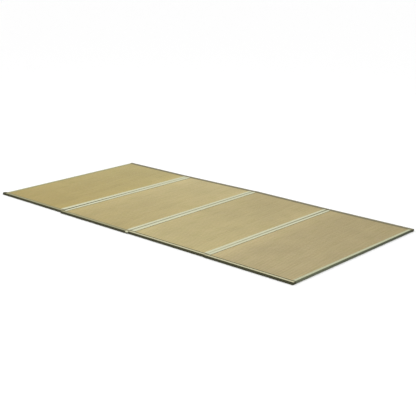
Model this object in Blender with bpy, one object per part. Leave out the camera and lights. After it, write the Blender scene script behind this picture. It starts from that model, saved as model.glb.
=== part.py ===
"""Four-fold rush mat, lying open: four woven rush panels with bound edges, joined by three cloth hinges.

Units are metres. +X runs along the mat, +Y across it, +Z up. The origin is at the middle of the
mat's box, on the surface that it lies on.
"""

import math

import bmesh
import bpy
from mathutils import Matrix, Vector

# Driving dimensions of the mat
MAT_LENGTH = 2.0
EDGE_HEIGHT = 0.012
FOLD_GAP = 0.0035
PANEL_COUNT = 4

# Rush panel: its open field, and the thinner rim that the tape is folded over
FIELD_HEIGHT = 0.0114
FIELD_ROUNDING = 0.0008

# Binding tape
TAPE_THICKNESS = 0.0012
TAPE_CLEARANCE = 0.0003
TAPE_FOLD_RADIUS = 0.0025
ARC_STEPS = 4
LONG_TAPE_WIDTH = 0.024

# Fold hinge: a cloth strip that sags in the gap
HINGE_TOP = 0.0095
HINGE_SAG = 0.0015
HINGE_THICKNESS = 0.0014
HINGE_END_INSET = 0.006
HINGE_TAIL = 0.005
HINGE_STATIONS = 9

# How the panels came to lie: each one a little out of line, with the middle fold standing up at its far end
MIDDLE_FOLD_LIFT = 0.0045
LIFTED_FOLD = 2
# panel: width and shift across the mat (mm), turn (degrees), and the widths that its start and end tapes
# have at their near and far ends (mm)
PANEL_LAY = {
    1: {"width": 976.0, "shift": 1.9, "turn": -0.11, "start_tape": (18.0, 18.0), "end_tape": (31.0, 25.0)},
    2: {"width": 985.0, "shift": -1.5, "turn": 0.09, "start_tape": (22.0, 28.0), "end_tape": (22.0, 22.0)},
    3: {"width": 984.0, "shift": 3.0, "turn": 0.11, "start_tape": (28.0, 23.0), "end_tape": (20.0, 20.0)},
    4: {"width": 988.0, "shift": 2.4, "turn": -0.08, "start_tape": (20.0, 19.0), "end_tape": (19.0, 19.0)},
}
# fold: how far the hinge's near end stands out past the panels, as a turned-out tail
HINGE_TAILS = {1: 0.0, 2: HINGE_TAIL, 3: 0.0}

# Colours, as linear red, green and blue
RUSH = (0.47, 0.39, 0.19)
PALE_TAPE = (0.58, 0.60, 0.43)
DARK_TAPE = (0.09, 0.09, 0.045)

MILLIMETRE = 0.001
PANEL_LENGTH = (MAT_LENGTH - (PANEL_COUNT - 1) * FOLD_GAP) / PANEL_COUNT
MAT_WIDTH = max(lay["width"] for lay in PANEL_LAY.values()) * MILLIMETRE


def clear_scene():
    """Remove every object of the scene that the script starts in."""
    for old in list(bpy.data.objects):
        bpy.data.objects.remove(old, do_unlink=True)


def make_material(name, colour, roughness):
    """One cloth material with a plain Principled finish."""
    material = bpy.data.materials.new(name)
    material.use_nodes = True
    shader = material.node_tree.nodes["Principled BSDF"]
    shader.inputs["Base Color"].default_value = (*colour, 1.0)
    shader.inputs["Roughness"].default_value = roughness
    shader.inputs["Metallic"].default_value = 0.0
    return material


def half_width(panel):
    """From a panel's middle line to its long edges."""
    return PANEL_LAY[panel]["width"] * MILLIMETRE / 2


def panel_start(panel):
    """The X of a panel's first short edge, before the panel is shifted and turned."""
    return -MAT_LENGTH / 2 + (panel - 1) * (PANEL_LENGTH + FOLD_GAP)


def fold_lift(x, y):
    """How far the mat stands off the surface here: straight between folds, and rising towards +Y."""
    pitch = PANEL_LENGTH + FOLD_GAP
    fold_x = -MAT_LENGTH / 2 + LIFTED_FOLD * pitch - FOLD_GAP / 2
    along = max(0.0, 1.0 - abs(x - fold_x) / pitch)
    across = min(1.0, max(0.0, y / MAT_WIDTH + 0.5))
    return MIDDLE_FOLD_LIFT * along * across


def lay_point(panel, point):
    """Where a point of a panel comes to lie, from its place in a mat that is perfectly straight."""
    lay = PANEL_LAY[panel]
    middle = Vector((panel_start(panel) + PANEL_LENGTH / 2, 0.0, 0.0))
    turned = Matrix.Rotation(math.radians(lay["turn"]), 3, "Z") @ (point - middle) + middle
    turned.y += lay["shift"] * MILLIMETRE
    turned.z += fold_lift(point.x, point.y)
    return turned


def ring_faces(bm, lower, upper):
    """Side faces between two loops of vertices with the same count."""
    count = len(lower)
    for i in range(count):
        j = (i + 1) % count
        bm.faces.new((lower[i], lower[j], upper[j], upper[i]))


def finish_object(name, bm, material, panel=None):
    """Turn a bmesh into an object, laid with its panel when it belongs to one."""
    if panel:
        for vertex in bm.verts:
            vertex.co = lay_point(panel, vertex.co)
    bmesh.ops.recalc_face_normals(bm, faces=bm.faces)
    mesh = bpy.data.meshes.new(name)
    bm.to_mesh(mesh)
    bm.free()
    mesh.materials.append(material)
    piece = bpy.data.objects.new(name, mesh)
    bpy.context.scene.collection.objects.link(piece)
    mesh.shade_smooth()
    mesh.set_sharp_from_angle(angle=math.radians(35.0))
    return piece


def rush_panel(panel, material):
    """A slab whose full-height field is stepped down to a thinner rim under the tape, all the way round."""
    lay = PANEL_LAY[panel]
    start, end = panel_start(panel), panel_start(panel) + PANEL_LENGTH
    wall = TAPE_THICKNESS + TAPE_CLEARANCE
    start_tape = [width * MILLIMETRE + TAPE_CLEARANCE for width in lay["start_tape"]]
    end_tape = [width * MILLIMETRE + TAPE_CLEARANCE for width in lay["end_tape"]]

    def outline(start_insets, end_insets, side_inset):
        """The four corners of the slab, set in from its edges. Each end has a near and a far inset."""
        side = half_width(panel) - side_inset
        return (
            (start + start_insets[0], -side),
            (end - end_insets[0], -side),
            (end - end_insets[1], side),
            (start + start_insets[1], side),
        )

    rim = outline((wall, wall), (wall, wall), wall)
    long_tape = LONG_TAPE_WIDTH + TAPE_CLEARANCE
    field = outline(start_tape, end_tape, long_tape)
    rounded = outline(
        [inset + FIELD_ROUNDING for inset in start_tape],
        [inset + FIELD_ROUNDING for inset in end_tape],
        long_tape + FIELD_ROUNDING,
    )
    levels = (
        (0.0, rounded),
        (FIELD_ROUNDING, field),
        (wall, field),
        (wall, rim),
        (EDGE_HEIGHT - wall, rim),
        (EDGE_HEIGHT - wall, field),
        (FIELD_HEIGHT - FIELD_ROUNDING / 2, field),
        (FIELD_HEIGHT, rounded),
    )
    bm = bmesh.new()
    loops = []
    for height, corners in levels:
        loops.append([bm.verts.new((x, y, height)) for x, y in corners])
    for lower, upper in zip(loops[:-1], loops[1:]):
        ring_faces(bm, lower, upper)
    bm.faces.new(reversed(loops[0]))
    bm.faces.new(loops[-1])
    return finish_object(f"rush_panel_{panel}", bm, material, panel)


def tape_outline(width):
    """The outside of a tape folded over an edge, as (distance in from the edge, height), with round shoulders."""
    radius = TAPE_FOLD_RADIUS
    points = [(width, 0.0)]
    for centre_height, first_angle in ((radius, 270.0), (EDGE_HEIGHT - radius, 180.0)):
        for step in range(ARC_STEPS + 1):
            angle = math.radians(first_angle - 90.0 * step / ARC_STEPS)
            points.append((radius + radius * math.cos(angle), centre_height + radius * math.sin(angle)))
    points.append((width, EDGE_HEIGHT))
    return points


def binding(name, panel, material, widths, edge_point, run_from, run_to):
    """A tape folded over one edge, open at both ends. It has one of the two widths at each end.

    edge_point(along, inward, height) gives the place of a point that lies so far along the edge and
    so far in from it.
    """
    bm = bmesh.new()
    loops = []
    for along, width in zip((run_from, run_to), widths):
        inside = [
            (width, EDGE_HEIGHT - TAPE_THICKNESS),
            (TAPE_THICKNESS, EDGE_HEIGHT - TAPE_THICKNESS),
            (TAPE_THICKNESS, TAPE_THICKNESS),
            (width, TAPE_THICKNESS),
        ]
        section = tape_outline(width) + inside
        loops.append([bm.verts.new(edge_point(along, inward, height)) for inward, height in section])
    ring_faces(bm, *loops)
    for loop in loops:
        bm.faces.new(loop)
    return finish_object(name, bm, material, panel)


def closed_binding(name, panel, material, width, edge_point, run_from, run_to):
    """A tape folded over one edge, with both ends turned in to close them. edge_point is as for binding."""
    outside = tape_outline(width)
    mouth = [(width, EDGE_HEIGHT - TAPE_THICKNESS), (width, TAPE_THICKNESS)]
    deep = [(TAPE_THICKNESS, EDGE_HEIGHT - TAPE_THICKNESS), (TAPE_THICKNESS, TAPE_THICKNESS)]
    stations = (run_from, run_from + TAPE_THICKNESS, run_to - TAPE_THICKNESS, run_to)
    bm = bmesh.new()
    loops = [
        [bm.verts.new(edge_point(along, inward, height)) for inward, height in outside + mouth]
        for along in stations
    ]
    for lower, upper in zip(loops[:-1], loops[1:]):
        ring_faces(bm, lower, upper)
    # Between the two end walls the tape is open towards the rush, so its mouth's face gives way to a pocket.
    mouth_verts = {loops[1][-2], loops[1][-1], loops[2][-2], loops[2][-1]}
    mouth_face = next(face for face in bm.faces if set(face.verts) == mouth_verts)
    bm.faces.remove(mouth_face)
    pocket = []
    for along, loop in zip(stations[1:3], loops[1:3]):
        top, bottom = [bm.verts.new(edge_point(along, inward, height)) for inward, height in deep]
        pocket.append([loop[-2], top, bottom, loop[-1]])
    for i in range(3):
        bm.faces.new((pocket[0][i], pocket[0][i + 1], pocket[1][i + 1], pocket[1][i]))
    for end_loop in [loops[0], loops[-1]] + pocket:
        bm.faces.new(end_loop)
    return finish_object(name, bm, material, panel)


def long_bindings(panel, material):
    """The two tapes along a panel's long edges. They run the panel's whole length."""
    start, end = panel_start(panel), panel_start(panel) + PANEL_LENGTH
    near_y, far_y = -half_width(panel), half_width(panel)
    closed_binding(
        f"near_binding_{panel}", panel, material, LONG_TAPE_WIDTH,
        lambda along, inward, height: Vector((along, near_y + inward, height)), start, end,
    )
    closed_binding(
        f"far_binding_{panel}", panel, material, LONG_TAPE_WIDTH,
        lambda along, inward, height: Vector((along, far_y - inward, height)), start, end,
    )


def short_bindings(panel, material):
    """The two tapes along a panel's short edges. They butt against the long ones."""
    lay = PANEL_LAY[panel]
    start, end = panel_start(panel), panel_start(panel) + PANEL_LENGTH
    reach = half_width(panel) - LONG_TAPE_WIDTH - TAPE_CLEARANCE
    binding(
        f"start_binding_{panel}", panel, material, [width * MILLIMETRE for width in lay["start_tape"]],
        lambda along, inward, height: Vector((start + inward, along, height)), -reach, reach,
    )
    binding(
        f"end_binding_{panel}", panel, material, [width * MILLIMETRE for width in lay["end_tape"]],
        lambda along, inward, height: Vector((end - inward, along, height)), -reach, reach,
    )


def fold_hinge(fold, material):
    """A cloth strip in the gap after a panel. It follows both panels' edges and sags between them."""
    left_x = panel_start(fold) + PANEL_LENGTH
    right_x = panel_start(fold + 1)
    reach = min(half_width(fold), half_width(fold + 1))
    near_y = -reach + HINGE_END_INSET
    far_y = reach - HINGE_END_INSET
    if HINGE_TAILS[fold]:
        near_y = -reach - HINGE_TAILS[fold]
    bm = bmesh.new()
    loops = []
    for station in range(HINGE_STATIONS):
        y = near_y + (far_y - near_y) * station / (HINGE_STATIONS - 1)
        left = lay_point(fold, Vector((left_x, y, HINGE_TOP)))
        right = lay_point(fold + 1, Vector((right_x, y, HINGE_TOP)))
        across = (right - left).normalized()
        left += across * TAPE_CLEARANCE
        right -= across * TAPE_CLEARANCE
        middle = (left + right) / 2 - Vector((0.0, 0.0, HINGE_SAG))
        down = Vector((0.0, 0.0, HINGE_THICKNESS))
        section = (left, middle, right, right - down, middle - down, left - down)
        loops.append([bm.verts.new(point) for point in section])
    for lower, upper in zip(loops[:-1], loops[1:]):
        ring_faces(bm, lower, upper)
    bm.faces.new(loops[0])
    bm.faces.new(loops[-1])
    return finish_object(f"fold_hinge_{fold}", bm, material)


def centre_on_box():
    """Move all pieces together so that the mat's box is centred on the origin in plan."""
    bpy.context.view_layer.update()
    corners = [vertex.co for piece in bpy.data.objects for vertex in piece.data.vertices]
    low = Vector([min(corner[axis] for corner in corners) for axis in range(3)])
    high = Vector([max(corner[axis] for corner in corners) for axis in range(3)])
    offset = Vector(((low.x + high.x) / 2, (low.y + high.y) / 2, low.z))
    for piece in bpy.data.objects:
        piece.data.transform(Matrix.Translation(-offset))


def main():
    clear_scene()
    rush = make_material("woven_rush", RUSH, 0.7)
    pale_tape = make_material("sage_tape", PALE_TAPE, 0.85)
    dark_tape = make_material("olive_tape", DARK_TAPE, 0.85)
    for panel in range(1, PANEL_COUNT + 1):
        rush_panel(panel, rush)
        long_bindings(panel, dark_tape)
        short_bindings(panel, pale_tape)
    for fold in range(1, PANEL_COUNT):
        fold_hinge(fold, pale_tape)
    centre_on_box()


main()
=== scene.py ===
"""Looks of a four-fold rush mat: woven rush panels, cotton bindings, cloth hinges and stitching.

Units are metres, and +Z is up. "Along" runs with the mat's length, from a panel's start edge.
"Across" runs with its width, from its near edge. The stems of the rush lie across.
"""

import math

import bmesh
import bpy
import numpy as np
from mathutils import Matrix, Vector


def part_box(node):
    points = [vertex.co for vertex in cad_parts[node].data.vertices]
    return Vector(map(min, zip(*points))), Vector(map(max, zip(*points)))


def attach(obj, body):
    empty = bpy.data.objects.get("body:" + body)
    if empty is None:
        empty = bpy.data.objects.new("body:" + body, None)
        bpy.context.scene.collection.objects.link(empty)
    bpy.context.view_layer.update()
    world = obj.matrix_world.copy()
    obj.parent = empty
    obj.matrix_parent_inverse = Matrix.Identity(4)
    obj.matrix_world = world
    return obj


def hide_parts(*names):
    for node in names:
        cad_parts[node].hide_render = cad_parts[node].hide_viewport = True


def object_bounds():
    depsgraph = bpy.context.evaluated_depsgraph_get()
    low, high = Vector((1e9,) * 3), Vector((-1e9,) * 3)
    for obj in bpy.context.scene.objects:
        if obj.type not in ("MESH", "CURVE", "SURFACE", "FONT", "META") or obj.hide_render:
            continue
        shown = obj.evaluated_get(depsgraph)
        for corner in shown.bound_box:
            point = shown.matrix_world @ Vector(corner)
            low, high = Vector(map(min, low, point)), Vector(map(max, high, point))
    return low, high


bl_info = {
    "name": "Folding rush mat",
    "version": (1, 0, 0),
    "blender": (4, 5, 0),
    "location": "View3D > Sidebar > Rush mat",
    "description": "Builds a bound and folded mat of woven rush around its frame",
    "category": "Add Mesh",
}

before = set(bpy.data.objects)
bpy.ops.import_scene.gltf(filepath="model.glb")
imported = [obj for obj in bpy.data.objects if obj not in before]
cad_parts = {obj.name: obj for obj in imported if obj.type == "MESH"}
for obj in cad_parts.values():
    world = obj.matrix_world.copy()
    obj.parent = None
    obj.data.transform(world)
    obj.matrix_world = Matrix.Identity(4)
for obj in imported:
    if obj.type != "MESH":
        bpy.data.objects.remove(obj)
CAD_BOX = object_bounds()

BODY = "root"
MILLIMETRE = 0.001
SEED = 20
PANELS = sorted(int(name.rsplit("_", 1)[1]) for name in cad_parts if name.startswith("rush_panel_"))
FOLDS = PANELS[:-1]
EDGE_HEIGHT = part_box(f"near_binding_{PANELS[0]}")[1].z
FIELD_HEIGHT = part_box(f"rush_panel_{PANELS[0]}")[1].z
HALF_WIDTH = CAD_BOX[1][1]
WEAVE_MAP = "weave"

# Rush: how far its rim is set in under the tapes, how far under a tape's hem the field drops to that rim,
# how far the rim lies below the edge height, and how far the field and the rim stand off the surface
RUSH_RIM = 0.0018
RUSH_TUCK = 0.0012
RIM_DROP = 0.0018
FIELD_UNDERSIDE = 0.0006
RIM_UNDERSIDE = 0.0016
# How far from a tape the relief is free, how full a row's round back is, how high bundles and loose stems
# stand out, what share of the relief the underside has, and the lengths of the slow waves
RELIEF_EASE = 0.004
ROW_FULLNESS = 0.7
BUNDLE_RELIEF = 0.00006
STEM_RELIEF = 0.00007
UNDERSIDE_SHARE = 0.6
WAVES_ALONG = (0.31, 0.17)
WAVES_ACROSS = (0.42, 0.23, 0.12)

# Tape: its clearance from the next tape, the steps in each of its two rounded corners, how far its sewn hem
# lies below the edge height, and the height of its underside at the stitches and at the hem
TAPE_CLEARANCE = 0.0003
ARC_STEPS = 3
HEM_DROP = 0.0007
GROOVE_UNDERSIDE = 0.0003
HEM_UNDERSIDE = 0.0005
# How far its hem wanders, how much the thread puckers it, the lengths of both waves, how near its ends they
# fade away, and the share of its width that keeps still when the hem moves
HEM_WANDER = 0.00045
HEM_WAVES = (0.11, 0.047, 0.023)
STITCH_PUCKER = 0.00016
LONG_PUCKER = 0.00012
PUCKER_WAVES = (0.06, 0.018)
END_EASE = 0.006
STILL_SHARE = 0.3

# Stitching: how far from a tape's ends it stops, on long and on short tapes, how much a stitch slants, and
# where its full thickness starts, as a share of half its length
LONG_STITCH_CLEAR = 0.004
SHORT_STITCH_CLEAR = 0.003
STITCH_SLANT = 0.12
STITCH_SHOULDER = 0.55

# Hinge cloth: its thickness, the grid that it is made of, how far below the edge height it is sewn, how far
# it keeps from the tapes, how full its belly is, and the share and lengths of the waves in its depth
HINGE_THICKNESS = 0.0006
HINGE_ROWS = 190
HINGE_COLUMNS = 9
HINGE_DROP = 0.002
HINGE_CLEARANCE = 0.0002
BELLY_FULLNESS = 1.6
DEPTH_WAVE = 0.05
DEPTH_WAVES = (0.09, 0.03)

# Studio: half the floor's side, and the soft light's place and size
FLOOR_REACH = 30.0
SOFT_BOX_PLACE = (-0.8, -1.6, 2.8)
SOFT_BOX_SIZE = (3.0, 2.2)

# The rush of each panel: its colour at the near and the far long edge, and how much paler it is where
# it is rubbed beside its start and end edges, which reaches RUB_REACH in from them
RUSH_TONES = {
    1: {"near": "AB9757", "far": "B5A56A", "start_rub": 0.04, "end_rub": 0.13},
    2: {"near": "B3A169", "far": "BFAF7C", "start_rub": 0.11, "end_rub": 0.07},
    3: {"near": "BBAB77", "far": "B09F6E", "start_rub": 0.08, "end_rub": 0.07},
    4: {"near": "B3A275", "far": "A99869", "start_rub": 0.20, "end_rub": 0.00},
}
RUB_REACH = 0.15
# How many streaks of colour there are to a metre along and across
STREAKS_PER_METRE = (160.0, 9.0, 1.0)

# The tones of the tape: its base tone, the colour that it has been rubbed to in patches, and how bright it is
# at the near end, middle and far end of an edge. That change of brightness is painted shade. The fold tones
# are sage in the painted shade of the gap between panels, greyer, and darker where the gap is darker.
SAGE, DULL_SAGE, WARM_SAGE, STRAW_SAGE, OLIVE_AND_SHADE, MID_OLIVE, SHADED_SAGE = (
    "cotton_sage", "cotton_dull_sage", "cotton_warm_sage", "cotton_straw_sage", "cotton_olive_and_shade",
    "cotton_rubbed_olive", "cotton_shaded_sage",
)
SHADED_FOLD_SAGE = {1: "cotton_fold_shade_1", 2: "cotton_fold_shade_2", 3: "cotton_fold_shade_3"}
EVEN = (1.0, 1.0, 1.0)
TAPE_TONES = {
    SAGE: {"dye": "CECEAE", "rubbed": "DCDCC4", "shades": EVEN},
    DULL_SAGE: {"dye": "BCBF9D", "rubbed": "C9CCAF", "shades": EVEN},
    WARM_SAGE: {"dye": "C5C09C", "rubbed": "D0CCAD", "shades": EVEN},
    STRAW_SAGE: {"dye": "A29E78", "rubbed": "B0AC88", "shades": EVEN},
    # Olive cloth: on the long tapes' sides and undersides it is the mid olive darkened by painted shade, and
    # it also draws the near tapes' dark selvedge line and turned-in start
    OLIVE_AND_SHADE: {"dye": "3E3E28", "rubbed": "52523A", "shades": EVEN},
    MID_OLIVE: {"dye": "807A5F", "rubbed": "948E73", "shades": EVEN},
    # The sage tape's sides and undersides in painted shade, darker still towards the far end
    SHADED_SAGE: {"dye": "60654F", "rubbed": "757B65", "shades": (1.05, 0.90, 0.60)},
    SHADED_FOLD_SAGE[1]: {"dye": "CACAA9", "rubbed": "DADAC0", "shades": (0.06, 0.42, 0.90)},
    SHADED_FOLD_SAGE[2]: {"dye": "CACAA9", "rubbed": "DADAC0", "shades": (0.55, 0.60, 0.52)},
    SHADED_FOLD_SAGE[3]: {"dye": "CACAA9", "rubbed": "DADAC0", "shades": (0.90, 0.66, 0.46)},
}
TONE_NAMES = tuple(TAPE_TONES)

# Which tone shows on each zone of a tape: the selvedge line by the rush, the top, the side and the
# underside. Where a side or underside is darker than the top, that darkness is painted shade, in whole or in
# part. The line's width, and how far in on top the side's tone reaches, are in millimetres.
TAPE_ZONES = {
    "near": {
        "line_width": 7.0, "side_reach": 4.0,
        "line": OLIVE_AND_SHADE, "top": WARM_SAGE, "side": OLIVE_AND_SHADE, "under": OLIVE_AND_SHADE,
    },
    "far": {
        "line_width": 8.0, "side_reach": 3.0,
        "line": MID_OLIVE, "top": MID_OLIVE, "side": OLIVE_AND_SHADE, "under": OLIVE_AND_SHADE,
    },
    "start": {
        "line_width": 2.5, "side_reach": 3.0,
        "line": MID_OLIVE, "top": SAGE, "side": SAGE, "under": SHADED_SAGE,
    },
    "end": {
        "line_width": 3.0, "side_reach": 3.0,
        "line": SAGE, "top": SAGE, "side": SAGE, "under": SHADED_SAGE,
    },
}
# What differs on single tapes. A dark start is turned-in cloth at the tape's end, and a jut is how far
# that end stands out past the panel, both in millimetres.
ODD_TAPES = {
    ("near", 1): {"top": STRAW_SAGE, "line": MID_OLIVE, "dark_start": 7.0, "jut": 11.0},
    ("near", 2): {"top": STRAW_SAGE, "line": MID_OLIVE},
    ("start", 1): {"top": DULL_SAGE, "line": STRAW_SAGE, "line_width": 7.0, "side": SHADED_SAGE},
    # The end tapes' sides face into a fold's gap and take its painted shade
    ("end", 1): {"side": SHADED_FOLD_SAGE[1]},
    ("end", 2): {"side": SHADED_FOLD_SAGE[2]},
    ("end", 3): {"side": SHADED_FOLD_SAGE[3]},
    ("end", 4): {"top": DULL_SAGE, "line": DULL_SAGE, "side": SHADED_SAGE, "side_reach": 3.5},
}

# The near end of one fold's hinge cloth comes out of the gap as a flared tail that is turned down over the
# edge. Its rows, from the tip: how far out past the edge, how far over its top and half the width, all in
# millimetres, and how far the cloth is turned down, in degrees. TAIL_START is how far in from the edge it
# leaves the gap, in metres.
TAILED_FOLD = 2
TAIL_ROWS = (
    (1.4, -4.5, 6.2, 90.0), (1.3, -2.5, 6.6, 90.0), (0.9, -0.2, 6.8, 60.0), (-0.5, 0.9, 6.6, 20.0),
    (-3.0, 0.9, 6.0, 0.0), (-6.0, 0.8, 4.0, 0.0),
)
TAIL_START = 0.012


def linear(hex_colour):
    """An sRGB hex colour, such as 'C0B080', as linear red, green and blue."""
    shares = [int(hex_colour[i:i + 2], 16) / 255 for i in (0, 2, 4)]
    return tuple(s / 12.92 if s <= 0.04045 else ((s + 0.055) / 1.055) ** 2.4 for s in shares)


# ---------------------------------------------------------------- what a user would change


class RushMatSizes(bpy.types.PropertyGroup):
    """Sizes of the weave, the sewing and the cloth."""

    row_pitch: bpy.props.FloatProperty(
        name="Row pitch", description="From one valley of the weave to the next",
        default=0.015, unit="LENGTH")
    column_pitch: bpy.props.FloatProperty(
        name="Bundle pitch", description="Width of the bundles of stems that stand out as relief",
        default=0.010, unit="LENGTH")
    stem_pitch: bpy.props.FloatProperty(
        name="Stem pitch", description="Width of one stem as drawn", default=0.0028, unit="LENGTH")
    row_relief: bpy.props.FloatProperty(
        name="Row relief", description="Depth of the valleys between rows", default=0.0005, unit="LENGTH")
    seam_sink: bpy.props.FloatProperty(
        name="Seam sink", description="How far the sewing pulls the rush down beside a tape",
        default=0.0009, unit="LENGTH")
    seam_reach: bpy.props.FloatProperty(
        name="Seam reach", description="How far from a tape the rush is still pulled down",
        default=0.009, unit="LENGTH")
    waviness: bpy.props.FloatProperty(
        name="Waviness", description="How far the rush is from flat", default=0.00025, unit="LENGTH")
    tape_thickness: bpy.props.FloatProperty(
        name="Tape thickness", description="Thickness of the binding tape", default=0.0008, unit="LENGTH")
    fold_radius: bpy.props.FloatProperty(
        name="Fold radius", description="Radius of the tape where it turns over an edge",
        default=0.0025, unit="LENGTH")
    stitch_pitch: bpy.props.FloatProperty(
        name="Stitch pitch", description="From one stitch to the next", default=0.005, unit="LENGTH")
    stitch_length: bpy.props.FloatProperty(
        name="Stitch length", description="Length of thread that shows", default=0.0037, unit="LENGTH")
    thread_width: bpy.props.FloatProperty(
        name="Thread width", description="Width of the sewing thread", default=0.0009, unit="LENGTH")
    stitch_inset: bpy.props.FloatProperty(
        name="Stitch inset", description="From the tape's hem to the stitches", default=0.0025, unit="LENGTH")
    hinge_strip: bpy.props.FloatProperty(
        name="Hinge strip", description="Width of the hinge cloth between two panels",
        default=0.0105, unit="LENGTH")


class RushMatColours(bpy.types.PropertyGroup):
    """Colours of the fibres and the cloth."""

    green_tint: bpy.props.FloatVectorProperty(
        name="Green tint", description="What turns straw into a stem that kept some green", subtype="COLOR",
        default=(0.84, 0.92, 0.78))
    brown_tint: bpy.props.FloatVectorProperty(
        name="Brown tint", description="What turns straw into a stem that dried darker", subtype="COLOR",
        default=(0.80, 0.73, 0.62))
    floor: bpy.props.FloatVectorProperty(
        name="Floor", description="The pale floor", subtype="COLOR", default=linear("FEFEFE"))


class RushMatStudio(bpy.types.PropertyGroup):
    """Camera and lights."""

    azimuth: bpy.props.FloatProperty(
        name="Azimuth", description="Turn of the camera round the mat, from looking along +Y",
        default=math.radians(41.903), subtype="ANGLE")
    elevation: bpy.props.FloatProperty(
        name="Elevation", description="Height of the camera above the horizon",
        default=math.radians(16.591), subtype="ANGLE")
    roll: bpy.props.FloatProperty(
        name="Roll", description="Turn of the camera about its own line of sight",
        default=math.radians(0.357), subtype="ANGLE")
    distance: bpy.props.FloatProperty(
        name="Distance", description="From the camera to the point it looks at",
        default=4.7321, unit="LENGTH")
    aim: bpy.props.FloatVectorProperty(
        name="Aim", description="The point that the camera looks at", subtype="TRANSLATION", unit="LENGTH",
        default=(0.0228, 0.0715, 0.012))
    lens: bpy.props.FloatProperty(
        name="Lens", description="Focal length on a 36 mm sensor", default=77.803, unit="CAMERA")
    room_light: bpy.props.FloatProperty(
        name="Room light", description="Strength of the even light from all round", default=1.0)
    key_light: bpy.props.FloatProperty(
        name="Key light", description="Power of the large soft light", default=22.0, unit="POWER")


# ---------------------------------------------------------------- where the frame's pieces lie


def node_points(name):
    """The vertices of a node of the frame, as rows of x, y and z."""
    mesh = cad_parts[name].data
    points = np.zeros(len(mesh.vertices) * 3)
    mesh.vertices.foreach_get("co", points)
    return points.reshape(-1, 3)


class LaidPanel:
    """One panel as it lies: it turns a place on the panel into a point of the mat."""

    END_BAND = 0.0005

    def __init__(self, number):
        self.number = number
        near = node_points(f"near_binding_{number}")
        far = node_points(f"far_binding_{number}")
        self.corners = np.array([
            [self.corner(near, -1, -1), self.corner(far, -1, 1)],
            [self.corner(near, 1, -1), self.corner(far, 1, 1)],
        ])
        self.length = float(np.linalg.norm(self.corners[1, 0, :2] - self.corners[0, 0, :2]))
        self.width = float(np.linalg.norm(self.corners[0, 1, :2] - self.corners[0, 0, :2]))
        self.long_tape = self.reach(f"near_binding_{number}")[1].max()
        self.start_hem = self.hem(*self.reach(f"start_binding_{number}"))
        along, across = self.reach(f"end_binding_{number}")
        self.end_hem = self.hem(self.length - along, across)

    def corner(self, points, along_side, across_side):
        """The plan place of a corner, and how far the mat stands off the surface there."""
        reach = along_side * points[:, 0] + across_side * points[:, 1]
        plan = points[reach.argmax(), :2]
        beside = np.abs(points[:, 0] - plan[0]) < self.END_BAND
        return (plan[0], plan[1], points[beside, 2].max() - EDGE_HEIGHT)

    def reach(self, node):
        """How far along and across the panel each vertex of a node is."""
        offset = node_points(node)[:, :2] - self.corners[0, 0, :2]
        along_axis = (self.corners[1, 0, :2] - self.corners[0, 0, :2]) / self.length
        across_axis = (self.corners[0, 1, :2] - self.corners[0, 0, :2]) / self.width
        return offset @ along_axis, offset @ across_axis

    def hem(self, inward, across):
        """A short tape's widths at its near and far ends."""
        near_half = across < self.width / 2
        return inward[near_half].max(), inward[~near_half].max()

    def tape_width(self, edge, place):
        """How wide the tape of an edge is at places along it."""
        if edge in ("near", "far"):
            return np.full_like(place, self.long_tape)
        near, far = self.start_hem if edge == "start" else self.end_hem
        share = (place - self.long_tape) / (self.width - 2 * self.long_tape)
        return near + (far - near) * np.clip(share, 0, 1)

    def from_edge(self, edge, run, inward, height):
        """Points of the mat, from places along an edge, distances in from it and heights."""
        run = np.broadcast_to(run, inward.shape)
        along, across = {
            "start": (inward, run),
            "end": (self.length - inward, run),
            "near": (run, inward),
            "far": (run, self.width - inward),
        }[edge]
        return self.place(along, across, height)

    def place(self, along, across, height):
        """Points of the mat, from places along and across the panel and heights over its underside."""
        u = (np.asarray(along) / self.length)[..., None]
        v = (np.asarray(across) / self.width)[..., None]
        near = self.corners[0, 0] * (1 - u) + self.corners[1, 0] * u
        far = self.corners[0, 1] * (1 - u) + self.corners[1, 1] * u
        points = near * (1 - v) + far * v
        points[..., 2] += height
        return points


# ---------------------------------------------------------------- meshes


def new_piece(name, points, faces, materials, weave, face_materials=None):
    """A smooth mesh object from points and faces, with a map of the weave place of each point in metres."""
    mesh = bpy.data.meshes.new(name)
    mesh.from_pydata(points.tolist(), [], faces)
    for material in materials:
        mesh.materials.append(material)
    if face_materials is not None:
        mesh.polygons.foreach_set("material_index", face_materials)
    corners = np.zeros(len(mesh.loops), dtype=np.int32)
    mesh.loops.foreach_get("vertex_index", corners)
    layer = mesh.uv_layers.new(name=WEAVE_MAP)
    layer.uv.foreach_set("vector", weave[corners].astype(np.float32).ravel())
    mesh.validate()
    piece = bpy.data.objects.new(name, mesh)
    bpy.context.scene.collection.objects.link(piece)
    mesh.shade_smooth()
    mesh.set_sharp_from_angle(angle=math.radians(50.0))
    return piece


def fix_normals(piece):
    """Turn every face of a closed mesh outwards."""
    bm = bmesh.new()
    bm.from_mesh(piece.data)
    bmesh.ops.recalc_face_normals(bm, faces=bm.faces)
    bm.to_mesh(piece.data)
    bm.free()


def grid_faces(rows, columns, first=0, flip=False):
    """Quads of a grid whose vertices are numbered row by row."""
    row, column = np.meshgrid(np.arange(rows - 1), np.arange(columns - 1), indexing="ij")
    a = first + row * columns + column
    quads = np.stack([a, a + 1, a + columns + 1, a + columns], axis=-1).reshape(-1, 4)
    return quads[:, ::-1] if flip else quads


def rim_faces(rows, columns):
    """Quads that close the rim between two grids of the same size, the second numbered after the first."""
    count = rows * columns
    index = np.arange(count).reshape(rows, columns)
    ring = np.concatenate([index[0, :-1], index[:-1, -1], index[-1, :0:-1], index[:0:-1, 0]])
    after = np.roll(ring, -1)
    return np.stack([ring, after, after + count, ring + count], axis=-1)


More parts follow.
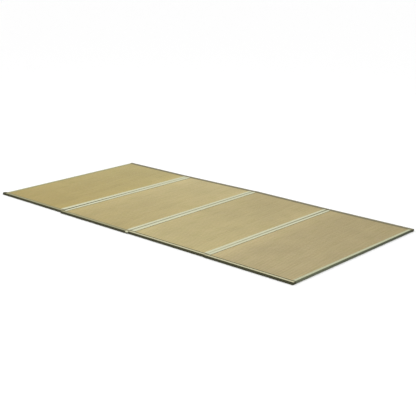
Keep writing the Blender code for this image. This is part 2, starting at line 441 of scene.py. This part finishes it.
def ripple(places, waves, random):
    """A gentle random unevenness of about +1 to -1, from waves of the given lengths."""
    total = np.zeros_like(places)
    for wave in waves:
        length = wave * random.uniform(0.8, 1.25)
        total += np.sin(places * 2 * math.pi / length + random.uniform(0, 6.283))
    return total / len(waves)


# ---------------------------------------------------------------- materials


def add_node(tree, kind, sockets=None, **settings):
    """Add one shader node. sockets gives each input a value, or another node's output to link from."""
    node = tree.nodes.new("ShaderNode" + kind)
    for name, value in settings.items():
        setattr(node, name, value)
    for name, value in (sockets or {}).items():
        if isinstance(value, bpy.types.NodeSocket):
            tree.links.new(value, node.inputs[name])
        else:
            node.inputs[name].default_value = value
    return node


def new_material(name):
    """An empty node material, and its Principled shader."""
    material = bpy.data.materials.new(name)
    material.use_nodes = True
    return material, material.node_tree, material.node_tree.nodes["Principled BSDF"]


def dried_rush(panel):
    """Woven dried rush: whole stems packed tight over hidden cotton warps.

    To the eye it is a dry straw colour, each stem a little different from the next, with a valley at
    every 15 mm row, a soft sheen along the stems and slow fading over the whole panel.
    """
    sizes = bpy.context.scene.rush_mat_sizes
    colours = bpy.context.scene.rush_mat_colours
    tones = RUSH_TONES[panel.number]
    material, tree, shader = new_material(f"dried_rush_{panel.number}")
    place = add_node(tree, "UVMap", uv_map=WEAVE_MAP)
    parts = add_node(tree, "SeparateXYZ", {0: place.outputs["UV"]})
    along, across = parts.outputs["X"], parts.outputs["Y"]

    # Valleys where the stems dip between two warps
    row = add_node(tree, "Math", {0: across, 1: sizes.row_pitch}, operation="DIVIDE").outputs[0]
    half_turn = add_node(tree, "Math", {0: row, 1: math.pi}, operation="MULTIPLY").outputs[0]
    wave = add_node(tree, "Math", {0: half_turn}, operation="COSINE").outputs[0]
    size = add_node(tree, "Math", {0: wave}, operation="ABSOLUTE").outputs[0]
    valley = add_node(tree, "Math", {0: size, 1: 7.0}, operation="POWER").outputs[0]

    # Stems, moved over by half a stem in every other row. Real stems are 1.3 mm wide, and these are
    # drawn at about twice that so that they show.
    row_number = add_node(tree, "Math", {0: row}, operation="FLOOR").outputs[0]
    half_row = add_node(tree, "Math", {0: row_number, 1: 0.5}, operation="MULTIPLY").outputs[0]
    stem = add_node(
        tree, "Math", {0: along, 1: 1.0 / sizes.stem_pitch, 2: half_row}, operation="MULTIPLY_ADD",
    ).outputs[0]
    stem_number = add_node(tree, "Math", {0: stem}, operation="FLOOR").outputs[0]
    stem_turn = add_node(tree, "Math", {0: stem, 1: math.pi}, operation="MULTIPLY").outputs[0]
    stem_wave = add_node(tree, "Math", {0: stem_turn}, operation="SINE").outputs[0]
    stem_round = add_node(tree, "Math", {0: stem_wave}, operation="ABSOLUTE").outputs[0]
    parity = add_node(tree, "Math", {0: row_number, 1: 2.0}, operation="MODULO").outputs[0]
    stem_name = add_node(tree, "CombineXYZ", {"X": stem_number, "Y": parity}).outputs[0]
    stem_tone = add_node(tree, "TexWhiteNoise", {"Vector": stem_name}, noise_dimensions="2D")

    # Streaks of green and brown that follow the stems for a hand's width, and slow fading
    streak_place = add_node(
        tree, "Mapping", {"Vector": place.outputs["UV"], "Scale": STREAKS_PER_METRE}).outputs[0]
    streak = add_node(
        tree, "TexNoise", {"Vector": streak_place, "Scale": 1.0, "Detail": 2.0, "Roughness": 0.6},
        noise_dimensions="2D",
    ).outputs[0]
    world = add_node(tree, "TexCoord").outputs["Object"]
    fade = add_node(
        tree, "TexNoise", {"Vector": world, "Scale": 5.0, "Detail": 3.0, "Roughness": 0.55},
    ).outputs[0]

    # Straw from the near to the far edge, with some stems greener and some browner
    cross_share = add_node(tree, "MapRange", {"Value": across, "From Max": panel.width}).outputs[0]
    straw = add_node(
        tree, "Mix",
        {0: cross_share, 6: (*linear(tones["near"]), 1.0), 7: (*linear(tones["far"]), 1.0)}, data_type="RGBA",
    ).outputs[2]
    green = add_node(
        tree, "MapRange", {"Value": streak, "From Min": 0.45, "From Max": 0.75, "To Max": 0.7},
    ).outputs[0]
    greened = add_node(
        tree, "Mix", {0: green, 6: straw, 7: (*colours.green_tint, 1.0)},
        data_type="RGBA", blend_type="MULTIPLY").outputs[2]
    brown = add_node(
        tree, "MapRange",
        {"Value": stem_tone.outputs["Value"], "From Min": 0.55, "From Max": 1.0, "To Max": 0.45},
    ).outputs[0]
    stemmed = add_node(
        tree, "Mix", {0: brown, 6: greened, 7: (*colours.brown_tint, 1.0)},
        data_type="RGBA", blend_type="MULTIPLY").outputs[2]

    # Shade in the valleys and between stems, slow fading, and the rub beside the short edges
    shade = add_node(
        tree, "Math", {0: valley, 1: -0.24, 2: 1.0}, operation="MULTIPLY_ADD").outputs[0]
    gap_shade = add_node(
        tree, "MapRange", {"Value": stem_round, "From Max": 0.5, "To Min": 0.86, "To Max": 1.0},
    ).outputs[0]
    fading = add_node(
        tree, "MapRange",
        {"Value": fade, "From Min": 0.3, "From Max": 0.7, "To Min": 0.94, "To Max": 1.05},
    ).outputs[0]
    light = add_node(tree, "Math", {0: shade, 1: gap_shade}, operation="MULTIPLY").outputs[0]
    light = add_node(tree, "Math", {0: light, 1: fading}, operation="MULTIPLY").outputs[0]
    for edge, reach, rub in (
        (0.0, RUB_REACH, tones["start_rub"]), (panel.length, panel.length - RUB_REACH, tones["end_rub"]),
    ):
        rubbed = add_node(
            tree, "MapRange",
            {"Value": along, "From Min": edge, "From Max": reach, "To Min": 1.0 + rub, "To Max": 1.0},
            interpolation_type="SMOOTHSTEP").outputs[0]
        light = add_node(tree, "Math", {0: light, 1: rubbed}, operation="MULTIPLY").outputs[0]
    colour = add_node(
        tree, "VectorMath", {0: stemmed, "Scale": light}, operation="SCALE").outputs[0]
    tree.links.new(colour, shader.inputs["Base Color"])

    # The round back of each stem, with fine ribs along it
    rib = add_node(
        tree, "TexNoise", {"Vector": streak_place, "Scale": 8.0, "Detail": 1.0},
        noise_dimensions="2D").outputs[0]
    height = add_node(
        tree, "Math", {0: rib, 1: 0.25, 2: stem_round}, operation="MULTIPLY_ADD").outputs[0]
    bump = add_node(tree, "Bump", {"Height": height, "Strength": 0.5, "Distance": 0.0006})
    tree.links.new(bump.outputs[0], shader.inputs["Normal"])
    gloss = add_node(
        tree, "MapRange", {"Value": streak, "To Min": 0.52, "To Max": 0.72}).outputs[0]
    tree.links.new(gloss, shader.inputs["Roughness"])
    shader.inputs["IOR"].default_value = 1.46
    return material


def band_scale(spacing):
    """The scale of a wave texture whose bands are so many millimetres apart, on a map in metres."""
    return 2 * math.pi / spacing / MILLIMETRE / 20


def cotton_tape(name):
    """Woven cotton binding tape: matt, with a fine rib across it, and paler where it has been rubbed.

    The real threads are 0.4 mm apart. They are drawn 1.2 mm apart one way and 1.6 mm the other, so that
    they show.
    """
    tone = TAPE_TONES[name]
    material, tree, shader = new_material(name)
    place = add_node(tree, "UVMap", uv_map=WEAVE_MAP).outputs["UV"]
    thread = add_node(
        tree, "TexWave", {"Vector": place, "Scale": band_scale(1.2)},
        wave_type="BANDS", bands_direction="X", wave_profile="SIN").outputs["Fac"]
    weft = add_node(
        tree, "TexWave", {"Vector": place, "Scale": band_scale(1.6)},
        wave_type="BANDS", bands_direction="Y", wave_profile="SIN").outputs["Fac"]
    weave = add_node(tree, "Math", {0: thread, 1: weft}, operation="MULTIPLY").outputs[0]
    world = add_node(tree, "TexCoord").outputs["Object"]
    rubbed = add_node(
        tree, "TexNoise", {"Vector": world, "Scale": 26.0, "Detail": 4.0, "Roughness": 0.6},
    ).outputs[0]
    rub_share = add_node(
        tree, "MapRange", {"Value": rubbed, "From Min": 0.45, "From Max": 0.8, "To Max": 0.35},
    ).outputs[0]
    toned = add_node(
        tree, "Mix",
        {0: rub_share, 6: (*linear(tone["dye"]), 1.0), 7: (*linear(tone["rubbed"]), 1.0)}, data_type="RGBA",
    ).outputs[2]
    shade = add_node(
        tree, "MapRange", {"Value": weave, "To Min": 0.88, "To Max": 1.04}).outputs[0]

    # The painted shade on the fold tones and the shaded sage changes evenly from the near end to the middle,
    # and from there to the far end
    run = add_node(tree, "SeparateXYZ", {0: place}).outputs["X"]
    near, middle, far = tone["shades"]
    for run_from, first, last in ((0.0, near, middle), (HALF_WIDTH, 1.0, far / middle)):
        share = add_node(
            tree, "MapRange",
            {
                "Value": run, "From Min": run_from, "From Max": run_from + HALF_WIDTH,
                "To Min": first, "To Max": last,
            },
        ).outputs[0]
        shade = add_node(tree, "Math", {0: shade, 1: share}, operation="MULTIPLY").outputs[0]
    shaded = add_node(
        tree, "VectorMath", {0: toned, "Scale": shade}, operation="SCALE").outputs[0]
    tree.links.new(shaded, shader.inputs["Base Color"])
    bump = add_node(tree, "Bump", {"Height": weave, "Strength": 0.35, "Distance": 0.0004})
    tree.links.new(bump.outputs[0], shader.inputs["Normal"])
    rough = add_node(
        tree, "MapRange", {"Value": rubbed, "To Min": 0.78, "To Max": 0.92}).outputs[0]
    tree.links.new(rough, shader.inputs["Roughness"])
    shader.inputs["IOR"].default_value = 1.5
    shader.inputs["Specular IOR Level"].default_value = 0.25
    return material


def tape_materials():
    """The materials of the tape's tones in the order of TONE_NAMES. The first call makes them."""
    for tone in TONE_NAMES:
        if tone not in bpy.data.materials:
            cotton_tape(tone)
    return [bpy.data.materials[tone] for tone in TONE_NAMES]


# ---------------------------------------------------------------- the mat's pieces


def woven_panel(panel):
    """The rush of one panel: a slab with woven relief on both faces, pulled down beside its tapes."""
    sizes = bpy.context.scene.rush_mat_sizes
    random = np.random.default_rng(SEED + panel.number)
    row_count = round((panel.width - 2 * panel.long_tape) / sizes.row_pitch)
    rows = np.linspace(panel.long_tape, panel.width - panel.long_tape, 4 * row_count + 1)
    across = np.concatenate([
        [RUSH_RIM, panel.long_tape - RUSH_TUCK], rows,
        [panel.width - panel.long_tape + RUSH_TUCK, panel.width - RUSH_RIM],
    ])
    field_start = panel.tape_width("start", across)
    field_end = panel.length - panel.tape_width("end", across)
    column_count = round((field_end - field_start).mean() / (sizes.column_pitch / 2))
    shares = np.linspace(0, 1, column_count + 1)[:, None]
    columns = field_start * (1 - shares) + field_end * shares
    whole_row = np.ones_like(across)
    along = np.vstack([
        RUSH_RIM * whole_row, field_start - RUSH_TUCK, columns, field_end + RUSH_TUCK,
        (panel.length - RUSH_RIM) * whole_row,
    ])
    across = np.broadcast_to(across, along.shape)

    # Distance in from the nearest tape, which is negative under the tapes
    clear = np.minimum.reduce([
        along - field_start, field_end - along,
        across - panel.long_tape, panel.width - panel.long_tape - across,
    ])
    free = 1 - np.exp(-np.maximum(clear, 0) / RELIEF_EASE)
    row_phase = (across - panel.long_tape) / (panel.width - 2 * panel.long_tape) * row_count
    crest = np.abs(np.sin(math.pi * row_phase)) ** ROW_FULLNESS
    bundle = np.cos(math.pi * (along / (sizes.column_pitch / 2) + np.floor(row_phase)))
    relief = sizes.row_relief * (crest - 1) + BUNDLE_RELIEF * bundle * crest
    relief += STEM_RELIEF * random.standard_normal(along.shape) * crest
    slow = ripple(along + 0.3 * across, WAVES_ALONG, random)
    slow += ripple(across - 0.2 * along, WAVES_ACROSS, random)
    sink = sizes.seam_sink * np.exp(-np.maximum(clear, 0) / sizes.seam_reach)
    top = FIELD_HEIGHT - sink + free * (relief + sizes.waviness * slow)
    under_tape = clear < -RUSH_TUCK / 2
    top = np.where(under_tape, EDGE_HEIGHT - RIM_DROP, top)
    bottom = FIELD_UNDERSIDE - free * relief * UNDERSIDE_SHARE
    bottom = np.where(under_tape, RIM_UNDERSIDE, bottom)

    upper = panel.place(along, across, top).reshape(-1, 3)
    lower = panel.place(along, across, bottom).reshape(-1, 3)
    faces = [
        grid_faces(*along.shape, 0, flip=True), grid_faces(*along.shape, along.size), rim_faces(*along.shape)]
    weave = np.stack([along, row_phase * sizes.row_pitch], axis=-1)
    weave = np.concatenate([weave.reshape(-1, 2)] * 2)
    piece = new_piece(
        f"woven_rush_{panel.number}", np.concatenate([upper, lower]), np.concatenate(faces).tolist(),
        [dried_rush(panel)], weave,
    )
    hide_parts(f"rush_panel_{panel.number}")
    return piece


def edge_tones(edge, number):
    """The zones and tones of one panel's tape."""
    return {**TAPE_ZONES[edge], **ODD_TAPES.get((edge, number), {})}


def tape_section(width, line, side_reach):
    """The outside of a folded tape as rows of (in from the edge, height), from top hem to bottom hem.

    Also returned is how far each point is round the tape, and the row where each zone starts: the
    selvedge line, the top, the side and the underside.
    """
    sizes = bpy.context.scene.rush_mat_sizes
    radius = sizes.fold_radius
    hem_height = EDGE_HEIGHT - HEM_DROP
    groove = width - sizes.stitch_inset
    middle = (width - line + side_reach) / 2
    # The hem, its lip, the stitches' groove, then the crown of the top
    points = [
        (width, hem_height - 0.0002), (width - 0.0006, hem_height + 0.0001), (groove, hem_height),
        (width - line, EDGE_HEIGHT - 0.0003), (middle, EDGE_HEIGHT + 0.0001),
        (side_reach, EDGE_HEIGHT + 0.00005),
    ]
    top_row, side_row = 3, 5
    for centre_height, first_angle in ((EDGE_HEIGHT - radius, 90.0), (radius, 180.0)):
        for step in range(ARC_STEPS + 1):
            angle = math.radians(first_angle + 90.0 * step / ARC_STEPS)
            points.append((radius + radius * math.cos(angle), centre_height + radius * math.sin(angle)))
    under_row = len(points) - 1
    points += [(groove, GROOVE_UNDERSIDE), (width, HEM_UNDERSIDE)]
    points = np.array(points)
    steps = np.linalg.norm(np.diff(points, axis=0), axis=1)
    round_it = np.concatenate([[0.0], np.cumsum(steps)])
    return points, round_it, (top_row, side_row, under_row)


def tape_surfaces(panel, edge, stations, section, side_row, closed, random):
    """The outside and the inside of a tape's cloth: points round its section at each station."""
    thickness = bpy.context.scene.rush_mat_sizes.tape_thickness
    widths = panel.tape_width(edge, stations)
    width = float(widths.mean())
    inward, height = section[:, 0], section[:, 1]
    normals = np.gradient(section, axis=0)
    normals = np.stack([-normals[:, 1], normals[:, 0]], axis=-1)
    normals /= np.linalg.norm(normals, axis=1)[:, None]
    # The lining is on the side of the cloth that faces the middle of the fold
    middle = np.array([width * 0.7, EDGE_HEIGHT / 2])
    normals *= np.sign(((middle - section) * normals).sum(axis=1))[:, None]
    lining = section + normals * thickness

    # The hem wanders a little, and the cloth puckers where the thread pulls it down
    hem_share = np.clip((inward - STILL_SHARE * width) / ((1 - STILL_SHARE) * width), 0, 1)
    wander = HEM_WANDER * ripple(stations, HEM_WAVES, random)
    pucker = STITCH_PUCKER * random.standard_normal(len(stations))
    pucker += LONG_PUCKER * ripple(stations, PUCKER_WAVES, random)
    fade_ends = np.minimum(1, np.minimum(stations - stations[0], stations[-1] - stations) / END_EASE)
    on_top = np.sqrt(np.sin(math.pi * np.clip(inward / width, 0, 1)))
    on_top[side_row + 1:] = 0.0
    hem_shift = (widths - width + wander * fade_ends)[:, None] * hem_share[None, :]
    rise = (pucker * fade_ends)[:, None] * on_top[None, :]
    inner_stations = stations.copy()
    if closed:
        inner_stations[0] += thickness
        inner_stations[-1] -= thickness
    outer = panel.from_edge(edge, stations[:, None], inward + hem_shift, height + rise)
    inner = panel.from_edge(edge, inner_stations[:, None], lining[:, 0] + hem_shift, lining[:, 1] + rise)
    return outer, inner


def tape_faces(stations, around, zone_rows, tones, closed):
    """The faces of a tape's outside, inside, hems and ends, and the number of each one's tone."""
    line_tone, top_tone, side_tone, under_tone = (
        TONE_NAMES.index(tones[zone]) for zone in ("line", "top", "side", "under"))
    top_row, side_row, under_row = zone_rows
    zones = np.full(around - 1, line_tone)
    zones[top_row:side_row] = top_tone
    zones[side_row:under_row] = side_tone
    zones[under_row:] = under_tone
    count = len(stations)
    total = count * around
    cloth_zones = np.tile(zones, (count - 1, 1))
    turned_in = stations[:-1] < tones.get("dark_start", 0.0) * MILLIMETRE
    cloth_zones[turned_in, top_row:side_row] = TONE_NAMES.index(OLIVE_AND_SHADE)
    faces = grid_faces(count, around).tolist() + grid_faces(count, around, total, flip=True).tolist()
    kinds = cloth_zones.ravel().tolist() * 2
    for i in range(count - 1):
        a, b = i * around, (i + 1) * around
        faces.append([a, b, b + total, a + total])
        faces.append([b + around - 1, a + around - 1, a + around - 1 + total, b + around - 1 + total])
        kinds += [line_tone, under_tone]

    # Both ends. fix_normals turns these faces later, but sharp edges are found by how they are wound here.
    last = (count - 1) * around
    if closed:
        end = np.arange(around)
        faces += [
            end.tolist(), (end + last)[::-1].tolist(),
            (end + total)[::-1].tolist(), (end + total + last).tolist(),
            [0, total, total + around - 1, around - 1],
            [last, last + around - 1, total + last + around - 1, total + last],
        ]
        kinds += [side_tone] * 6
    else:
        for k in range(around - 1):
            faces.append([k + 1, k, k + total, k + 1 + total])
            faces.append([last + k, last + k + 1, last + k + 1 + total, last + k + total])
            kinds += [int(zones[k])] * 2
    return faces, kinds


def folded_tape(panel, edge, run_from, run_to, closed, tones):
    """A binding tape sewn over the start, end, near or far edge of a panel. tones is a row of TAPE_ZONES.

    A closed tape has its ends turned in. The others butt against it with open ends.
    """
    name = f"{edge}_tape_{panel.number}"
    random = np.random.default_rng(SEED + sum(map(ord, name)))
    pitch = bpy.context.scene.rush_mat_sizes.stitch_pitch
    stations = np.linspace(run_from, run_to, round((run_to - run_from) / pitch) + 1)
    section, round_it, zone_rows = tape_section(
        float(panel.tape_width(edge, stations).mean()),
        tones["line_width"] * MILLIMETRE, tones["side_reach"] * MILLIMETRE)
    outer, inner = tape_surfaces(panel, edge, stations, section, zone_rows[1], closed, random)
    faces, kinds = tape_faces(stations, len(section), zone_rows, tones, closed)
    weave = np.stack(np.broadcast_arrays(stations[:, None], round_it[None, :]), axis=-1).reshape(-1, 2)
    piece = new_piece(
        name, np.concatenate([outer.reshape(-1, 3), inner.reshape(-1, 3)]), faces,
        tape_materials(), np.concatenate([weave, weave]), kinds,
    )
    fix_normals(piece)
    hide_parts(f"{edge}_binding_{panel.number}")
    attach(piece, BODY)
    return piece


def stitch_rows(panel):
    """For each of a panel's four tapes: its edge, first and last place, and thread."""
    long_reach = (LONG_STITCH_CLEAR, panel.length - LONG_STITCH_CLEAR)
    short_clear = panel.long_tape + SHORT_STITCH_CLEAR
    short_reach = (short_clear, panel.width - short_clear)
    return (
        ("near", *long_reach, MID_OLIVE),
        ("far", *long_reach, MID_OLIVE),
        ("start", *short_reach, SAGE),
        ("end", *short_reach, SAGE),
    )


def stitching(panel):
    """The thread that holds a panel's tapes: a short raised stitch every few millimetres, both sides."""
    sizes = bpy.context.scene.rush_mat_sizes
    random = np.random.default_rng(SEED + 100 + panel.number)
    half, width = sizes.stitch_length / 2, sizes.thread_width / 2
    shoulder = half * STITCH_SHOULDER
    # One stitch, with heights in thread widths: its two ends in the cloth, and two rings of four points
    # between them
    shape = np.array([
        (-half, 0, -0.5),
        (-shoulder, -width, 0), (-shoulder, 0, 0.8), (-shoulder, width, 0), (-shoulder, 0, -0.6),
        (shoulder, -width, 0), (shoulder, 0, 0.8), (shoulder, width, 0), (shoulder, 0, -0.6),
        (half, 0, -0.5),
    ])
    shape[:, 2] *= width
    quads = [(1, 5, 6, 2), (2, 6, 7, 3), (3, 7, 8, 4), (4, 8, 5, 1)]
    ends = [(0, 1, 2), (0, 2, 3), (0, 3, 4), (0, 4, 1), (9, 6, 5), (9, 7, 6), (9, 8, 7), (9, 5, 8)]
    points, faces, kinds = [], [], []
    for edge, run_from, run_to, thread in stitch_rows(panel):
        places = np.arange(run_from, run_to, sizes.stitch_pitch) + sizes.stitch_pitch / 2
        for side, base in ((1, EDGE_HEIGHT - HEM_DROP), (-1, HEM_UNDERSIDE)):
            for place in places[places < run_to]:
                slant = random.uniform(-STITCH_SLANT, STITCH_SLANT)
                run = place + shape[:, 0]
                inward = panel.tape_width(edge, run) - sizes.stitch_inset + shape[:, 1] + slant * shape[:, 0]
                points.append(panel.from_edge(edge, run, inward, base + side * shape[:, 2]))
                first = (len(points) - 1) * len(shape)
                faces += [[first + i for i in face] for face in quads + ends]
                kinds += [TONE_NAMES.index(thread)] * (len(quads) + len(ends))
    points = np.concatenate(points)
    piece = new_piece(
        f"stitching_{panel.number}", points, faces, tape_materials(), np.zeros((len(points), 2)), kinds)
    fix_normals(piece)
    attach(piece, BODY)
    return piece


def turned_down_tail(before, after, share):
    """The upper and lower points of a hinge's tail, in rows from its tip, and where each row is across."""
    out, over, half, turned = np.array(TAIL_ROWS).T[:, :, None]
    first, second = before.corners[1, 0], after.corners[0, 0]
    # The panels' edges are a little out of line, so the tail steps from one to the other over the gap
    step = np.clip(4 * share - 1.5, 0, 1)
    edge = first[1] * (1 - step) + second[1] * step
    x = (first[0] + second[0]) / 2 + half * MILLIMETRE * (2 * share - 1)
    y = edge - out * MILLIMETRE
    z = EDGE_HEIGHT + over * MILLIMETRE
    upper = np.stack(np.broadcast_arrays(x, y, z), axis=-1)
    turned = np.radians(turned)
    lower = upper.copy()
    lower[..., 1] += HINGE_THICKNESS * np.sin(turned)
    lower[..., 2] -= HINGE_THICKNESS * np.cos(turned)
    return upper, lower, -out[:, 0] * MILLIMETRE


def hinge_strip(fold, before, after):
    """The cloth strip that joins two panels. It bellies down in the gap between their bound edges."""
    sizes = bpy.context.scene.rush_mat_sizes
    random = np.random.default_rng(SEED + 200 + fold)
    low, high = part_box(f"fold_hinge_{fold}")
    first_edge, second_edge = before.corners[1, 0, 1], after.corners[0, 0, 1]
    start = TAIL_START if fold == TAILED_FOLD else low.y - first_edge
    stations = np.linspace(start, high.y - first_edge, HINGE_ROWS)
    sewn_height = EDGE_HEIGHT - HINGE_DROP
    left = before.place(np.full_like(stations, before.length), stations, sewn_height)
    right = after.place(np.zeros_like(stations), stations - (second_edge - first_edge), sewn_height)
    gap = np.linalg.norm(right[:, :2] - left[:, :2], axis=1)
    half_strip = sizes.hinge_strip / 2
    depth = np.sqrt(np.maximum(half_strip ** 2 - (gap / 2) ** 2, 1e-8))
    depth *= 1 + DEPTH_WAVE * ripple(stations, DEPTH_WAVES, random)
    share = np.linspace(0, 1, HINGE_COLUMNS)
    belly = 1 - np.abs(2 * share - 1) ** BELLY_FULLNESS
    inset = HINGE_CLEARANCE / gap[:, None]
    across = inset + (1 - 2 * inset) * share[None, :]
    upper = left[:, None, :] * (1 - across[..., None]) + right[:, None, :] * across[..., None]
    upper[..., 2] -= depth[:, None] * belly[None, :]
    # The cloth slopes, so it is thicker when it is measured straight down
    lower = upper.copy()
    lower[..., 2] -= HINGE_THICKNESS * 1.3
    tail_rows = 0
    if fold == TAILED_FOLD:
        tail_upper, tail_lower, tail_run = turned_down_tail(before, after, share)
        tail_rows = len(tail_run)
        upper, lower = np.concatenate([tail_upper, upper]), np.concatenate([tail_lower, lower])
        stations = np.concatenate([tail_run, stations])
    points = np.concatenate([upper.reshape(-1, 3), lower.reshape(-1, 3)])
    count, around = upper.shape[:2]
    total = count * around
    faces = np.concatenate([
        grid_faces(count, around, 0, flip=True), grid_faces(count, around, total), rim_faces(count, around)])
    in_tail = faces[:, 0] % total // around < tail_rows
    round_it = share * sizes.hinge_strip
    weave = np.stack(np.broadcast_arrays(stations[:, None], round_it[None, :]), axis=-1).reshape(-1, 2)
    # The cloth in the gap takes its fold's painted shade, and the tail out of the gap takes plain sage
    materials = dict(zip(TONE_NAMES, tape_materials()))
    piece = new_piece(
        f"hinge_cloth_{fold}", points, faces.tolist(), [materials[SHADED_FOLD_SAGE[fold]], materials[SAGE]],
        np.concatenate([weave, weave]), in_tail.astype(int),
    )
    fix_normals(piece)
    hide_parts(f"fold_hinge_{fold}")
    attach(piece, BODY)
    return piece


# ---------------------------------------------------------------- operators


class RUSHMAT_OT_weave_panels(bpy.types.Operator):
    """Weave the rush of the four panels, and sew their stitching"""

    bl_idname = "rush_mat.weave_panels"
    bl_label = "Weave panels"

    def execute(self, context):
        for number in PANELS:
            panel = LaidPanel(number)
            piece = woven_panel(panel)
            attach(piece, BODY)
            thread = stitching(panel)
        return {"FINISHED"}


class RUSHMAT_OT_bind_long_edges(bpy.types.Operator):
    """Fold the tapes over the long edges, and close their ends"""

    bl_idname = "rush_mat.bind_long_edges"
    bl_label = "Bind long edges"

    def execute(self, context):
        for number in PANELS:
            panel = LaidPanel(number)
            for edge in ("near", "far"):
                tones = edge_tones(edge, number)
                run_from = -tones.get("jut", 0.0) * MILLIMETRE
                piece = folded_tape(panel, edge, run_from, panel.length, True, tones)
        return {"FINISHED"}


class RUSHMAT_OT_bind_short_edges(bpy.types.Operator):
    """Fold the tapes over the short edges, between the long ones"""

    bl_idname = "rush_mat.bind_short_edges"
    bl_label = "Bind short edges"

    def execute(self, context):
        for number in PANELS:
            panel = LaidPanel(number)
            run_from = panel.long_tape + TAPE_CLEARANCE
            run_to = panel.width - panel.long_tape - TAPE_CLEARANCE
            for edge in ("start", "end"):
                piece = folded_tape(panel, edge, run_from, run_to, False, edge_tones(edge, number))
        return {"FINISHED"}


class RUSHMAT_OT_join_folds(bpy.types.Operator):
    """Join neighbouring panels with strips of hinge cloth"""

    bl_idname = "rush_mat.join_folds"
    bl_label = "Join folds"

    def execute(self, context):
        for fold in FOLDS:
            hinge_strip(fold, LaidPanel(fold), LaidPanel(fold + 1))
        return {"FINISHED"}


class RUSHMAT_OT_set_stage(bpy.types.Operator):
    """Set the pale floor, the soft lights and the camera"""

    bl_idname = "rush_mat.set_stage"
    bl_label = "Set stage"

    def execute(self, context):
        scene = context.scene
        studio = scene.rush_mat_studio
        floor_mesh = bpy.data.meshes.new("studio_floor")
        signs = ((-1, -1), (1, -1), (1, 1), (-1, 1))
        floor_mesh.from_pydata([(x * FLOOR_REACH, y * FLOOR_REACH, 0) for x, y in signs], [], [(0, 1, 2, 3)])
        floor = bpy.data.objects.new("studio_floor", floor_mesh)
        scene.collection.objects.link(floor)
        # Matt white paper, which takes the soft light without a gloss
        material, _, shader = new_material("floor_paper")
        shader.inputs["Base Color"].default_value = (*scene.rush_mat_colours.floor, 1.0)
        shader.inputs["Roughness"].default_value = 0.9
        shader.inputs["Specular IOR Level"].default_value = 0.1
        floor_mesh.materials.append(material)

        world = bpy.data.worlds.new("studio")
        scene.world = world
        world.use_nodes = True
        background = world.node_tree.nodes["Background"]
        background.inputs["Color"].default_value = (1.0, 1.0, 1.0, 1.0)
        background.inputs["Strength"].default_value = studio.room_light

        lamp = bpy.data.lights.new("soft_box", "AREA")
        lamp.shape = "RECTANGLE"
        lamp.size, lamp.size_y = SOFT_BOX_SIZE
        lamp.energy = studio.key_light
        soft_box = bpy.data.objects.new("soft_box", lamp)
        soft_box.location = SOFT_BOX_PLACE
        soft_box.rotation_mode = "QUATERNION"
        soft_box.rotation_quaternion = (-soft_box.location).to_track_quat("-Z", "Y")
        scene.collection.objects.link(soft_box)

        camera = bpy.data.objects.new("camera", bpy.data.cameras.new("camera"))
        camera.data.sensor_width = 36.0
        camera.data.lens = studio.lens
        towards = Vector((
            -math.sin(studio.azimuth) * math.cos(studio.elevation),
            math.cos(studio.azimuth) * math.cos(studio.elevation),
            -math.sin(studio.elevation),
        ))
        camera.matrix_world = (
            Matrix.Translation(Vector(studio.aim) - towards * studio.distance)
            @ towards.to_track_quat("-Z", "Y").to_matrix().to_4x4()
            @ Matrix.Rotation(studio.roll, 4, "Z")
        )
        scene.collection.objects.link(camera)
        scene.camera = camera
        scene.view_settings.view_transform = "Standard"
        return {"FINISHED"}


class RUSHMAT_PT_sidebar(bpy.types.Panel):
    """Sizes, colours and steps of the rush mat"""

    bl_idname = "RUSHMAT_PT_sidebar"
    bl_label = "Rush mat"
    bl_space_type = "VIEW_3D"
    bl_region_type = "UI"
    bl_category = "Rush mat"

    def draw(self, context):
        layout = self.layout
        scene = context.scene
        for group in (scene.rush_mat_sizes, scene.rush_mat_colours, scene.rush_mat_studio):
            box = layout.box()
            for name in group.__annotations__:
                box.prop(group, name)
        for operator in OPERATORS:
            layout.operator(operator.bl_idname)


GROUPS = (RushMatSizes, RushMatColours, RushMatStudio)
OPERATORS = (
    RUSHMAT_OT_weave_panels,
    RUSHMAT_OT_bind_long_edges,
    RUSHMAT_OT_bind_short_edges,
    RUSHMAT_OT_join_folds,
    RUSHMAT_OT_set_stage,
)


def register():
    for each in (*GROUPS, *OPERATORS, RUSHMAT_PT_sidebar):
        bpy.utils.register_class(each)
    bpy.types.Scene.rush_mat_sizes = bpy.props.PointerProperty(type=RushMatSizes)
    bpy.types.Scene.rush_mat_colours = bpy.props.PointerProperty(type=RushMatColours)
    bpy.types.Scene.rush_mat_studio = bpy.props.PointerProperty(type=RushMatStudio)


def unregister():
    del bpy.types.Scene.rush_mat_studio
    del bpy.types.Scene.rush_mat_colours
    del bpy.types.Scene.rush_mat_sizes
    for each in reversed((*GROUPS, *OPERATORS, RUSHMAT_PT_sidebar)):
        bpy.utils.unregister_class(each)


def main():
    """Build every piece in order."""
    register()
    bpy.ops.rush_mat.weave_panels()
    bpy.ops.rush_mat.bind_long_edges()
    bpy.ops.rush_mat.bind_short_edges()
    bpy.ops.rush_mat.join_folds()
    bpy.ops.rush_mat.set_stage()


if __name__ == "__main__":
    main()
